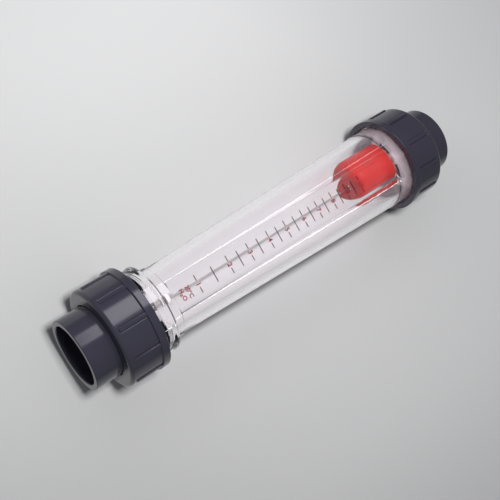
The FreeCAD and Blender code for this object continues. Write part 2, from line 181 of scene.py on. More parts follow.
@dataclass(frozen=True)
class Finish:
    """Look of one material.

    Args:
        name: name of the Blender material.
        slot: material slot of the record; not used.
        colour: linear base colour.
        roughness: mean roughness.
        metallic: 0 for plastics, 1 for steel.
        transmission: 1 for clear plastic.
        ior: index of refraction.
        shade: how far the colour varies, as a share of it.
        grain: cells of surface texture per metre.
        stretch: stretching of the grain along the axis; below 1 makes streaks.
        relief: height of the grain.
        scatter: how far the roughness varies.
    """

    name: str
    slot: str
    colour: tuple[float, float, float]
    roughness: float
    metallic: float = 0.0
    transmission: float = 0.0
    ior: float = 1.5
    shade: float = 0.06
    grain: float = 900.0
    stretch: float = 1.0
    relief: float = 0.02
    scatter: float = 0.06

    CLOUDS = 45.0  # cells of the colour's variation per metre

    def tone(self, change: float) -> tuple[float, ...]:
        """Base colour made lighter or darker by a share, with full alpha."""
        return (*(min(1.0, max(0.0, part * (1 + change))) for part in self.colour), 1.0)

    def material(self) -> bpy.types.Material:
        """Return the node material for this finish, made once.

        Returns:
            The material, shared by every piece with this finish.
        """
        known = bpy.data.materials.get(self.name)
        if known:
            return known
        material = bpy.data.materials.new(self.name)
        graph = Graph(material)
        place = graph.add("TexCoord").outputs["Object"]
        streaks = graph.add("Mapping", {"Vector": place, "Scale": (1.0, 1.0, self.stretch)})
        fine, broad = (
            graph.add("TexNoise", {"Vector": streaks.outputs["Vector"], "Scale": scale,
                                   "Detail": detail}).outputs["Fac"]
            for scale, detail in ((self.grain, 3.0), (self.CLOUDS, 2.0)))
        colour = graph.add("Mix", {"Factor": broad, "A": self.tone(-self.shade),
                                   "B": self.tone(self.shade)}, data_type="RGBA")
        matt = graph.add("MapRange", {
            "Value": fine, "To Min": max(0.0, self.roughness - self.scatter),
            "To Max": self.roughness + self.scatter})
        bump = graph.add("Bump", {"Height": fine, "Strength": 1.0,
                                  "Distance": self.relief * MM})
        graph.feed(graph.nodes["Principled BSDF"], {
            "Metallic": self.metallic, "IOR": self.ior,
            "Transmission Weight": self.transmission,
            "Base Color": colour.outputs["Result"], "Roughness": matt.outputs["Result"],
            "Normal": bump.outputs["Normal"]})
        return material


CLEAR = Finish("clear_acrylic", "clear_plastic", (0.990, 0.968, 0.986), 0.006,
               transmission=1.0, ior=1.49, shade=0.006, grain=45.0, stretch=0.12,
               relief=0.006, scatter=0.006)
CLOUDED = Finish("clouded_acrylic", "clear_plastic", (0.93, 0.78, 0.84), 0.24,
                 transmission=0.76, ior=1.49, shade=0.03, grain=300.0, stretch=0.3,
                 relief=0.01, scatter=0.05)
SLATE = Finish("slate_pvc", "grey_pvc", (0.027, 0.026, 0.040), 0.17, shade=0.10,
               grain=1500.0, relief=0.0015, scatter=0.03)
RED = Finish("red_float", "red_plastic", (0.46, 0.009, 0.006), 0.26, shade=0.16,
             grain=700.0, relief=0.006)
STEEL = Finish("stainless", "stainless_steel", (0.74, 0.73, 0.72), 0.20, metallic=1.0,
               shade=0.05, grain=2600.0, stretch=0.06, relief=0.004, scatter=0.08)
WHITE = Finish("holder_white", "holder_plastic", (0.78, 0.73, 0.74), 0.42, shade=0.08,
               grain=1200.0, relief=0.014)
RUBBER = Finish("rubber", "black_rubber", (0.016, 0.016, 0.017), 0.62, shade=0.15,
                grain=1800.0, scatter=0.08)
INK_DARK = Finish("scale_ink", "red_plastic", (0.030, 0.006, 0.012), 0.5, shade=0.25,
                  grain=5000.0, relief=0.002, scatter=0.05)
INK_RED = Finish("figure_ink", "red_plastic", (0.20, 0.006, 0.020), 0.5, shade=0.18,
                 grain=5000.0, relief=0.002, scatter=0.05)


# ---- outlines and meshes ----------------------------------------------------------------

ARC_SHARE = 0.45  # most of an edge that an arc at its end may take
SUPPORT = 1.08  # how far out an arc's support points lie, as a share of its reach


def rounded(corners: Sequence[Corner], steps: int = 5) -> list[Point]:
    """Run round a closed outline, with an arc at every rounded corner.

    Args:
        corners: the outline's corners in order.
        steps: faces on each arc.

    Returns:
        Points (across, along) in order, with support points beside each arc so that the
        flats next to it stay flat in the shading.
    """
    points: list[Point] = []
    for index, (across, along, rounding) in enumerate(corners):
        here = Vector((across, along))
        if rounding <= 0:
            points.append(tuple(here))
            continue
        back = Vector(corners[index - 1][:2]) - here
        ahead = Vector(corners[(index + 1) % len(corners)][:2]) - here
        half = back.angle(ahead) / 2
        reach = min(rounding / math.tan(half), ARC_SHARE * back.length,
                    ARC_SHARE * ahead.length)
        radius = reach * math.tan(half)
        back.normalize()
        ahead.normalize()
        centre = here + (back + ahead).normalized() * (radius / math.sin(half))
        start, end = here + back * reach, here + ahead * reach
        first = math.atan2(start.y - centre.y, start.x - centre.x)
        turn = math.atan2(end.y - centre.y, end.x - centre.x) - first
        turn = (turn + math.pi) % TAU - math.pi
        before, after = (tuple(here + way * reach * SUPPORT) for way in (back, ahead))
        angles = [first + turn * step / steps for step in range(steps + 1)]
        arc = [(centre.x + radius * math.cos(angle), centre.y + radius * math.sin(angle))
               for angle in angles]
        points += [before, *arc, after]
    return points


def lathe(outline: Sequence[Point], segments: int = 144) -> bmesh.types.BMesh:
    """Spin a closed outline about Z.

    Args:
        outline: points (radius, height).
        segments: faces round the axis.

    Returns:
        A closed mesh with faces outwards.
    """
    bm = bmesh.new()
    verts = [bm.verts.new((across * MM, 0, along * MM)) for across, along in outline]
    edges = [bm.edges.new((vert, verts[(i + 1) % len(verts)])) for i, vert in enumerate(verts)]
    bmesh.ops.spin(bm, geom=verts + edges, cent=(0, 0, 0), axis=(0, 0, 1), angle=TAU,
                   steps=segments, use_merge=True, use_duplicate=False)
    bmesh.ops.remove_doubles(bm, verts=bm.verts, dist=1e-7)
    bmesh.ops.recalc_face_normals(bm, faces=bm.faces)
    return bm


def even(count: int) -> list[float]:
    """Angles spread evenly over a turn."""
    return [TAU * i / count for i in range(count)]


@dataclass(frozen=True)
class Thread:
    """Right-hand screw thread on or in a cylinder.

    Args:
        root: radius of the plain cylinder.
        depth: height of the thread, negative for one inside a bore.
        pitch: rise in one turn.
        low: height where the full thread starts.
        high: height where it ends.
        phase: start of the ridge, as a share of the pitch.
    """

    root: float
    depth: float
    pitch: float
    low: float
    high: float
    phase: float = 0.0

    HALF_RIDGE = 0.28  # half of the ridge's foot, as a share of the pitch
    FLANK = 0.15  # width of each of its flanks

    def radius(self, angle: float, height: float) -> float:
        """Radius of the threaded surface.

        Args:
            angle: polar angle.
            height: height on the axis.

        Returns:
            Radius at that place.
        """
        turn = height / self.pitch - angle / TAU - self.phase
        offset = abs(turn - round(turn))
        ridge = min(1.0, max(0.0, (self.HALF_RIDGE - offset) / self.FLANK))
        ridge = ridge * ridge * (3 - 2 * ridge)
        run_in = min(height - self.low, self.high - height) / (0.5 * self.pitch)
        return self.root + self.depth * ridge * min(1.0, max(0.0, run_in))

    def heights(self, per_turn: int) -> list[float]:
        """Heights of the rings that carry the thread, from the bottom up."""
        count = max(2, round((self.high - self.low) / self.pitch * per_turn))
        return [self.low + (self.high - self.low) * i / count for i in range(count + 1)]


@dataclass
class Stack:
    """Pile of closed rings with as many points each, that a piece is lofted from.

    Args:
        angles: polar angles of the points on its round and threaded rings.
        rings: points (x, y) of each ring.
        heights: height of each ring.
    """

    angles: Sequence[float]
    rings: list[list[Point]] = field(default_factory=list)
    heights: list[float] = field(default_factory=list)

    def ring(self, pairs: Iterable[Point], height: float) -> None:
        """Add a ring of any shape.

        Args:
            pairs: angle and radius of each point.
            height: the ring's height.
        """
        self.rings.append([(radius * math.cos(angle), radius * math.sin(angle))
                           for angle, radius in pairs])
        self.heights.append(height)

    def turned(self, points: Iterable[Point]) -> None:
        """Add a round ring for every point (radius, height)."""
        for radius, height in points:
            self.ring([(angle, radius) for angle in self.angles], height)

    def threaded(self, thread: Thread, per_turn: int = 12, down: bool = False) -> None:
        """Add the rings of a thread.

        Args:
            thread: the thread.
            per_turn: rings in each turn.
            down: whether they follow from the top down.
        """
        levels = thread.heights(per_turn)
        for height in reversed(levels) if down else levels:
            self.ring([(angle, thread.radius(angle, height)) for angle in self.angles], height)

    def loft(self, capped: bool = False) -> bmesh.types.BMesh:
        """Join the rings one after the other.

        Args:
            capped: whether the first and last ring get a cap; else they are joined.

        Returns:
            A closed mesh with faces outwards.
        """
        bm = bmesh.new()
        rows = [[bm.verts.new((x * MM, y * MM, height * MM)) for x, y in ring]
                for ring, height in zip(self.rings, self.heights)]
        size = len(rows[0])
        for row, above in zip(rows, rows[1:] + ([] if capped else rows[:1])):
            for i in range(size):
                j = (i + 1) % size
                bm.faces.new((row[i], row[j], above[j], above[i]))
        if capped:
            bm.faces.new(rows[0][::-1])
            bm.faces.new(rows[-1])
        bmesh.ops.recalc_face_normals(bm, faces=bm.faces)
        return bm


def finished(name: str, bm: bmesh.types.BMesh) -> bpy.types.Mesh:
    """Keep a mesh that is under construction.

    Args:
        name: name of the mesh.
        bm: mesh under construction, freed here.

    Returns:
        The kept mesh.
    """
    mesh = bpy.data.meshes.new(name)
    bm.to_mesh(mesh)
    bm.free()
    return mesh


def placed(name: str, data: bpy.types.ID) -> bpy.types.Object:
    """Put a new object into the scene.

    Args:
        name: its name.
        data: its mesh, curve, light or camera.

    Returns:
        The object.
    """
    item = bpy.data.objects.new(name, data)
    bpy.context.scene.collection.objects.link(item)
    return item


def add_piece(name: str, bm: bmesh.types.BMesh, body: Body, finish: Finish,
              stands_for: Sequence[str] = (), sharp: float = 32.0) -> bpy.types.Object:
    """Turn a mesh under construction into a piece of the meter.

    Args:
        name: the piece's name.
        bm: its mesh, freed here.
        body: body that it rides on.
        finish: its look.
        stands_for: CAD nodes that it replaces.
        sharp: edges sharper than this angle, in degrees, stay crisp.

    Returns:
        The new object.
    """
    mesh = finished(name, bm)
    mesh.shade_smooth()
    mesh.set_sharp_from_angle(angle=math.radians(sharp))
    mesh.materials.append(finish.material())
    piece = placed(name, mesh)
    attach(piece, body.value)
    if stands_for:
        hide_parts(*stands_for)
    return piece


def united(solids: Sequence[bmesh.types.BMesh], cut: bmesh.types.BMesh,
           edge: float) -> bmesh.types.BMesh:
    """Fuse closed meshes, cut one away and round the edges.

    Args:
        solids: meshes to fuse, freed here.
        cut: mesh to take away, freed here.
        edge: width of the rounding.

    Returns:
        One closed mesh.
    """
    base, *others = [placed("helper", finished("helper", bm)) for bm in [*solids, cut]]
    for helper in others:
        boolean = base.modifiers.new("join", "BOOLEAN")
        boolean.operation = "DIFFERENCE" if helper is others[-1] else "UNION"
        boolean.solver = "EXACT"
        boolean.object = helper
    bevel = base.modifiers.new("edge", "BEVEL")
    bevel.width = edge * MM
    bevel.segments = 3
    bevel.limit_method = "ANGLE"
    bevel.angle_limit = math.radians(50)
    bpy.context.view_layer.update()
    shaped = base.evaluated_get(bpy.context.evaluated_depsgraph_get())
    out = bmesh.new()
    out.from_mesh(shaped.to_mesh())
    shaped.to_mesh_clear()
    for helper in (base, *others):
        mesh = helper.data
        bpy.data.objects.remove(helper)
        bpy.data.meshes.remove(mesh)
    bmesh.ops.remove_doubles(out, verts=out.verts, dist=1e-6)
    bmesh.ops.recalc_face_normals(out, faces=out.faces)
    return out


def block(low: Sequence[float], high: Sequence[float]) -> bmesh.types.BMesh:
    """Make a closed box.

    Args:
        low: its lowest corner.
        high: its highest corner.

    Returns:
        Its mesh.
    """
    bm = bmesh.new()
    bmesh.ops.create_cube(bm, size=1.0)
    size = [(b - a) * MM for a, b in zip(low, high)]
    middle = [(a + b) / 2 * MM for a, b in zip(low, high)]
    bmesh.ops.scale(bm, vec=size, verts=bm.verts)
    bmesh.ops.translate(bm, vec=middle, verts=bm.verts)
    return bm


def bar(radius: float, low: float, high: float, segments: int) -> bmesh.types.BMesh:
    """Make a closed round bar on the axis.

    Args:
        radius: its radius.
        low: height of its lower end.
        high: height of its upper end.
        segments: faces round the axis.

    Returns:
        Its mesh.
    """
    bm = bmesh.new()
    bmesh.ops.create_cone(bm, cap_ends=True, segments=segments, radius1=radius * MM,
                          radius2=radius * MM, depth=(high - low) * MM)
    bmesh.ops.translate(bm, vec=(0, 0, (low + high) / 2 * MM), verts=bm.verts)
    return bm


def span(node: str) -> Point:
    """Lowest and highest point of a CAD node on the axis, in millimetres."""
    low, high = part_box(node)
    return low[2] / MM, high[2] / MM


# ---- clear tube -------------------------------------------------------------------------

@dataclass
class Tube:
    """Clear moulded tube with threaded collars, a neck, a tapered bore and the flat panel."""

    collar: float = 45.3
    collar_length: float = 44.5
    rim: float = 46.1
    rim_width: float = 3.5
    seat: float = 40.3
    seat_depth: float = 6.0
    bore_low: float = 28.3
    bore_high: float = 38.5
    bell_length: float = 10.0
    funnel_length: float = 22.0
    taper_start: float = 74.0
    wall_low: float = 7.7
    wall_high: float = 8.3
    neck_length: float = 11.5
    neck_rise: float = 1.8
    panel_half: float = 17.0
    panel_rise: float = 0.6
    panel_gap: float = 2.0
    panel_edge: float = 0.9  # rounding of its long edges
    panel_root: float = 1.0  # rounding where they meet the taper
    panel_margin: float = 0.03  # angle left free beside it
    step: float = 0.05  # height of the step at each of its ends
    pitch: float = 4.0
    thread_depth: float = 2.05
    thread_start: float = 2.0
    thread_length: float = 21.0
    thread_break: float = 1.5  # where the thread is let into the collar's outline
    panel_cells: int = 12
    back_cells: int = 132
    taper_rings: int = 24
    foot: float = field(init=False)
    head: float = field(init=False)

    def __post_init__(self) -> None:
        """Take the tube's ends from the CAD node."""
        self.foot, self.head = span("measuring_tube")

    @property
    def neck_start(self) -> float:
        """Height of the lower collar's inner end."""
        return self.foot + self.collar_length

    @property
    def neck_end(self) -> float:
        """Height where the neck ends and the panel starts."""
        return self.neck_start + self.neck_length

    @property
    def rim_start(self) -> float:
        """Height of the upper collar's inner end."""
        return self.head - self.collar_length

    @property
    def top(self) -> float:
        """Height where the panel ends."""
        return self.rim_start - self.panel_gap

    def bore(self, height: float) -> float:
        """Radius of the tapered bore.

        Args:
            height: height on the axis.

        Returns:
            Radius at that height.
        """
        share = (height - self.foot - self.taper_start) / (
            self.head - self.foot - self.taper_start)
        return self.bore_low + (self.bore_high - self.bore_low) * share

    def outside(self, height: float) -> float:
        """Outer radius of the taper.

        Args:
            height: height on the axis.

        Returns:
            Radius at that height.
        """
        low = self.bore_low + self.wall_low
        high = self.bore(self.rim_start) + self.wall_high
        share = (height - self.neck_start) / (self.rim_start - self.neck_start)
        return low + (high - low) * share

    def face(self, height: float) -> float:
        """Distance of the panel's face from the axis at a height."""
        return self.outside(height) + self.panel_rise

    def section(self, height: float) -> list[Point]:
        """Section of the taper with its panel, as (angle, radius) pairs.

        Args:
            height: height of the section.

        Returns:
            Pairs in order round the axis, starting beside the panel.
        """
        radius, face, half = self.outside(height), self.face(height), self.panel_half
        foot_turn = math.asin(half / radius) + self.panel_margin
        outline = [(radius * math.sin(foot_turn), -radius * math.cos(foot_turn), 0.0),
                   (half, -math.sqrt(radius ** 2 - half ** 2), self.panel_root),
                   (half, -face, self.panel_edge)]
        outline += [(-x, y, rounding) for x, y, rounding in reversed(outline)]
        front = rounded(outline, steps=4)
        middle = next(i for i, (x, _) in enumerate(front) if x < 0)
        (right, level), (left, _) = front[middle - 1:middle + 1]
        front[middle:middle] = [(right + (left - right) * k / self.panel_cells, level)
                                for k in range(1, self.panel_cells)]
        pairs = [(math.atan2(x, -y), math.hypot(x, y)) for x, y in front]
        sweep = TAU - 2 * foot_turn
        pairs += [(-foot_turn - sweep * k / self.back_cells, radius)
                  for k in range(1, self.back_cells)]
        return [(FRONT + turn, distance) for turn, distance in pairs]

    def build(self) -> bpy.types.Object:
        """Loft the tube: up its outside, over its head and down its bore.

        Returns:
            The tube's object.
        """
        low_angles, high_angles = ([angle for angle, _ in self.section(height)]
                                   for height in (self.neck_end, self.top))
        neck = self.outside(self.neck_end) + self.neck_rise
        rim_foot = self.neck_start - self.rim_width
        rim_end = self.rim_start + self.rim_width
        stack = Stack(low_angles)
        lower = [(self.seat, self.foot, 0.3), (self.collar, self.foot, 0.6),
                 (self.collar, rim_foot - 2.0, 2.0), (self.rim, rim_foot + 0.5, 2.0),
                 (self.rim, self.neck_start, 0.5), (neck, self.neck_start, 1.5),
                 (neck, self.neck_end - 0.4, 0.0)]
        self._collar(stack, rounded(lower), self.foot + self.thread_break,
                     self.foot + self.thread_start)
        self._panel(stack, neck)
        upper = [(self.outside(self.rim_start), self.rim_start, 0.8),
                 (self.rim, self.rim_start, 0.4), (self.rim, rim_end, 0.4),
                 (self.collar, rim_end, 0.3), (self.collar, self.head, 0.6),
                 (self.seat, self.head, 0.3), (self.outside(self.top), self.top, 0.0)]
        stack.angles = high_angles
        self._collar(stack, rounded(upper)[:-1], self.head - self.thread_break,
                     self.head - self.thread_start - self.thread_length)
        stack.angles = low_angles
        stack.turned(self._bore_points())
        tube = add_piece("clear_tube", stack.loft(), Body.TUBE, CLEAR, ["measuring_tube"])
        tube.visible_shadow = False
        tube.data.materials.append(CLOUDED.material())
        for face in tube.data.polygons:
            place = face.center
            if place.z > rim_end * MM and math.hypot(place.x, place.y) > self.seat * MM:
                face.material_index = 1
        return tube

    def _collar(self, stack: Stack, points: Sequence[Point], split: float,
                start: float) -> None:
        """Add a collar with its thread.

        Args:
            stack: the tube's rings so far.
            points: the collar's outline.
            split: height past which the outline makes way for the thread.
            start: height where the thread starts.
        """
        place = next(i for i, (_, height) in enumerate(points) if height > split)
        stack.turned(points[:place])
        stack.threaded(Thread(self.collar, self.thread_depth, self.pitch, start,
                              start + self.thread_length))
        stack.turned(points[place:])

    def _panel(self, stack: Stack, neck: float) -> None:
        """Add the neck's end and the taper, with the panel standing on it.

        Args:
            stack: the tube's rings so far.
            neck: radius of the neck.
        """
        start = [(angle, max(distance, neck)) for angle, distance in
                 self.section(self.neck_end)]
        stack.ring(start, self.neck_end - 0.35)
        stack.ring(start, self.neck_end)
        for index in range(self.taper_rings + 1):
            height = self.neck_end + (self.top - self.neck_end) * index / self.taper_rings
            stack.ring(self.section(height), height + (0 if index else self.step))
        stack.ring([(angle, self.outside(self.top)) for angle, _ in self.section(self.top)],
                   self.top + self.step)

    def _bore_points(self) -> list[Point]:
        """Inside of the tube from the head down.

        Returns:
            Points (radius, height).
        """
        seat_high, seat_low = self.head - self.seat_depth, self.foot + self.seat_depth
        bell = seat_low + self.bell_length
        return rounded([
            (self.seat, self.head + 1, 0.0), (self.seat, seat_high, 0.2),
            (self.bore(seat_high), seat_high, 0.4),
            (self.bore_low, self.foot + self.taper_start, 8.0),
            (self.bore_low, bell + self.funnel_length, 5.0), (self.bore_high, bell, 5.0),
            (self.bore_high, seat_low, 0.4), (self.seat, seat_low, 0.2),
            (self.seat, self.foot - 1, 0.0)])[1:-1]


# ---- unions -----------------------------------------------------------------------------

@dataclass
class Coupling:
    """Union coupling of one end: socket end, sealing ring and nut.

    Args:
        end: end of the meter.
        tail: body of the socket end.
        nut: body of the nut.
        turn: angle of the first grip bar from the scale, in degrees.
    """

    end: End
    tail: Body
    nut: Body
    turn: float
    barrel: float = 52.6
    band: float = 54.5
    bore: float = 47.9
    hole: float = 38.2
    front_wall: float = 7.9
    length: float = 43.3
    band_width: float = 8.3
    grips: int = 10
    grip_rise: float = 1.4
    grip_start: float = 5.6
    plain_cells: int = 15  # faces between two grip bars
    socket: float = 31.6
    socket_outside: float = 37.6
    socket_depth: float = 38.0
    waterway: float = 25.5
    flange: float = 45.3
    flange_thickness: float = 7.7
    groove_in: float = 41.2
    groove_out: float = 44.4
    groove_depth: float = 2.8
    ring_in: float = 41.3
    ring_out: float = 44.3
    thread_depth: float = 2.05
    pitch: float = 4.0
    thread_mouth: float = 3.0  # plain bore before the thread
    thread_run: float = 9.0  # plain bore behind it

    # Half a grip bar: distance from its middle and share of its height.
    GRIP = ((0, 1), (1.2, 1), (1.6, 0.96), (1.85, 0.75), (2.0, -0.1), (2.15, -0.28),
            (2.5, -0.28), (2.8, -0.12), (3.1, 0), (3.8, 0))
    # Front end of a grip bar: distance from its start and share of its height.
    GRIP_END = ((0.0, 0.0), (0.25, 0.35), (0.7, 0.9), (1.2, 1.0))

    @property
    def outwards(self) -> int:
        """-1 for the lower end, +1 for the upper one."""
        return -1 if self.end is End.LOWER else 1

    def level(self, rim: float, depth: float) -> float:
        """Height at a depth behind an outer end face."""
        return rim - self.outwards * depth

    def build(self) -> None:
        """Make the three pieces of the coupling."""
        self._socket_end()
        self._ring()
        self._nut()

    def _socket_end(self) -> None:
        """Turn the socket end with its pipe stop, flange and ring groove."""
        node = self.end.value + "_socket_end"
        low, high = span(node)
        length = high - low
        shoulder, groove = length - self.flange_thickness, length - self.groove_depth
        depths = [(self.socket, 0.0, 1.2), (self.socket_outside, 0.0, 0.8),
                  (self.socket_outside, shoulder, 0.4), (self.flange, shoulder, 0.7),
                  (self.flange, length, 0.4), (self.groove_out, length, 0.1),
                  (self.groove_out, groove, 0.2), (self.groove_in, groove, 0.2),
                  (self.groove_in, length, 0.1), (self.waterway, length, 0.8),
                  (self.waterway, self.socket_depth, 0.8),
                  (self.socket, self.socket_depth, 0.6)]
        rim = low if self.end is End.LOWER else high
        corners = [(across, self.level(rim, depth), rounding)
                   for across, depth, rounding in depths]
        add_piece(self.end.value + "_socket", lathe(rounded(corners)), self.tail, SLATE,
                  [node])

    def _ring(self) -> None:
        """Turn the squeezed sealing ring."""
        node = self.end.value + "_sealing_ring"
        low, high = span(node)
        corners = [(self.ring_in, low, 1.2), (self.ring_out, low, 1.2),
                   (self.ring_out, high, 1.2), (self.ring_in, high, 1.2)]
        add_piece(self.end.value + "_seal", lathe(rounded(corners)), self.tail, RUBBER,
                  [node])

    def _grip_angles(self) -> list[Point]:
        """Angles round the nut, close together at the sides of the grip bars.

        Returns:
            Each angle with its share of a grip bar's height.
        """
        profile = [(-offset, share) for offset, share in self.GRIP[:0:-1]] + [*self.GRIP]
        gap = TAU / self.grips
        edge = profile[-1][0] / self.barrel
        pairs = []
        for index in range(self.grips):
            middle = FRONT - self.outwards * math.radians(self.turn) + index * gap
            pairs += [(middle + offset / self.barrel, share) for offset, share in profile]
            pairs += [(middle + edge + (gap - 2 * edge) * k / self.plain_cells, 0.0)
                      for k in range(1, self.plain_cells)]
        return pairs

    def _nut(self) -> None:
        """Loft the nut: front face, grip bars, plain band, threaded bore and shoulder."""
        node = self.end.value + "_union_nut"
        low, high = span(node)
        front = low if self.end is End.LOWER else high
        pairs = self._grip_angles()
        stack = Stack([angle for angle, _ in pairs])

        def add(radius: float, depth: float, lift: float = 0.0) -> None:
            """Add a ring at a depth behind the front, lifted at the grip bars."""
            stack.ring([(angle, radius + lift * share) for angle, share in pairs],
                       self.level(front, depth))

        band_start = self.length - self.band_width
        points = rounded([
            (self.hole, 0.0, 0.6), (self.barrel, 0.0, 3.5), (self.barrel, band_start, 0.5),
            (self.band, band_start, 0.9), (self.band, self.length, 0.9),
            (self.bore, self.length, 0.9), (self.bore, self.front_wall, 0.4),
            (self.hole, self.front_wall, 0.5)], steps=6)
        bars_at = next(i for i, (_, depth) in enumerate(points) if depth > self.grip_start)
        bore_at = next(i for i, (radius, depth) in enumerate(points) if i > bars_at + 8
                       and radius < self.bore + 0.01 and depth < self.length - 1.5)
        for radius, depth in points[:bars_at]:
            add(radius, depth)
        for depth, share in self.GRIP_END:
            add(self.barrel, self.grip_start + depth, self.grip_rise * share)
        for radius, depth in points[bars_at:bore_at]:
            add(radius, depth, max(0.0, self.barrel + self.grip_rise - radius)
                if depth < band_start + 0.5 else 0.0)
        stack.threaded(self._thread(front), down=self.end is End.LOWER)
        for radius, depth in points[bore_at:]:
            add(radius, depth)
        add_piece(self.end.value + "_nut_shell", stack.loft(), self.nut, SLATE, [node])

    def _thread(self, front: float) -> Thread:
        """Thread in the nut's bore, between the ridges of the tube's collar.

        Args:
            front: height of the nut's front face.

        Returns:
            The thread.
        """
        low, high = sorted((self.level(front, self.length - self.thread_mouth),
                            self.level(front, self.front_wall + self.thread_run)))
        return Thread(self.bore, -self.thread_depth, self.pitch, low, high, 0.5)


# ---- guide rod --------------------------------------------------------------------------

@dataclass
class RodSet:
    """Guide rod with its holders, nuts, washers, sleeves and stops."""

    rod: float = 2.0
    root: float = 1.68
    tip: float = 1.45
    thread_depth: float = 0.32
    thread_pitch: float = 0.7
    thread_end: float = 8.0
    thread_run: float = 0.3  # plain tip before the thread
    hole: float = 2.05
    hub: float = 7.0
    hub_core: float = 4.0
    plate: float = 6.0
    arm_half: float = 2.0
    arm_inset: float = 0.02  # keeps the arms' faces off the ring's
    ring_out: float = 40.1
    ring_in: float = 32.1
    flats: float = 7.0
    nut_mouth: float = 2.5
    washer: float = 5.0
    sleeve: float = 3.2
    stop: float = 5.8

    # Depths of the rings at each end of a nut, where its corners are turned.
    NUT_DEPTHS = (0.0, 0.06, 0.12, 0.2, 0.3, 0.42)

    def build(self) -> None:
        """Make every piece of the rod set."""
        self._rod()
        for end in End:
            self._holder(end.value + "_rod_holder", end)
            self._nut(end.value + "_rod_nut")
            self._turned(end.value + "_rod_washer", self.washer, 0.12, STEEL)
        for node in ("stop_sleeve", "upper_stop_sleeve"):
            self._turned(node, self.sleeve, 0.3, STEEL)
        self._turned("lower_bumper", self.stop, 0.7, WHITE)
        self._turned("upper_bumper", self.stop, 0.7, RUBBER)

    def _turned(self, node: str, radius: float, edge: float, finish: Finish) -> None:
        """Turn a plain ring on the rod.

        Args:
            node: CAD node that it replaces.
            radius: outer radius.
            edge: rounding of its outer edges.
            finish: its look.
        """
        low, high = span(node)
        inner = min(0.2, edge)
        corners = [(self.hole, low, inner), (radius, low, edge), (radius, high, edge),
                   (self.hole, high, inner)]
        add_piece(node + "_piece", lathe(rounded(corners, 4), 64), Body.TUBE, finish, [node])

    def _rod(self) -> None:
        """Loft the rod with rolled threads at both ends."""
        low, high = span("guide_rod")
        low_end, high_end = low + self.thread_end, high - self.thread_end
        stack = Stack(even(32))
        stack.turned([(self.tip, low), (self.root, low + 0.28)])
        stack.threaded(Thread(self.root, self.thread_depth, self.thread_pitch,
                              low + self.thread_run, low_end), 8)
        stack.turned([(self.root, low_end + 0.05), (self.rod, low_end + 0.35),
                      (self.rod, high_end - 0.35), (self.root, high_end - 0.05)])
        stack.threaded(Thread(self.root, self.thread_depth, self.thread_pitch,
                              high_end, high - self.thread_run), 8)
        stack.turned([(self.root, high - 0.28), (self.tip, high)])
        add_piece("rod", stack.loft(capped=True), Body.TUBE, STEEL, ["guide_rod"])

    def _holder(self, node: str, end: End) -> None:
        """Mould a holder: ring, four arms and hub, with soft edges.

        Args:
            node: CAD node that it replaces.
            end: end of the meter, where its plate lies outwards.
        """
        low, high = span(node)
        bottom = low if end is End.LOWER else high - self.plate
        top = bottom + self.plate
        reach = (self.ring_in + self.ring_out) / 2
        rings = [((self.ring_in, self.ring_out), (bottom, top), 128),
                 ((self.hole + 1.0, self.hub), (low, high), 64)]
        ring, hub = (lathe([(inner, foot), (outer, foot), (outer, head), (inner, head)], cells)
                     for (inner, outer), (foot, head), cells in rings)
        arms = [block((-x, -y, bottom + self.arm_inset), (x, y, top - self.arm_inset))
                for x, y in ((reach, self.arm_half), (self.arm_half, reach))]
        core = bar(self.hub_core, low, high, 64)
        drill = bar(self.hole, low - 2, high + 2, 48)
        add_piece(node + "_moulding", united([ring, *arms, hub, core], drill, 0.35),
                  Body.TUBE, WHITE, [node], 40.0)

    def _nut(self, node: str) -> None:
        """Loft a hexagon nut with turned corners.

        Args:
            node: CAD node that it replaces.
        """
        low, high = span(node)
        flat, length = self.flats / 2, high - low

        def hexagon(angle: float, depth: float) -> float:
            """Radius of the nut at a depth behind the nearer of its ends."""
            within = (angle % (TAU / 6)) - TAU / 12
            return min(flat / math.cos(within), flat * 0.97 + depth * 1.9)

        stack = Stack(even(96))
        for depth in (*self.NUT_DEPTHS, *(length - d for d in reversed(self.NUT_DEPTHS))):
            stack.ring([(angle, hexagon(angle, min(depth, length - depth)))
                        for angle in stack.angles], low + depth)
        stack.turned([(self.nut_mouth, high), (self.hole, high - 0.4),
                      (self.hole, low + 0.4), (self.nut_mouth, low)])
        add_piece(node + "_hex", stack.loft(), Body.TUBE, STEEL, [node], 25.0)


# ---- float ------------------------------------------------------------------------------

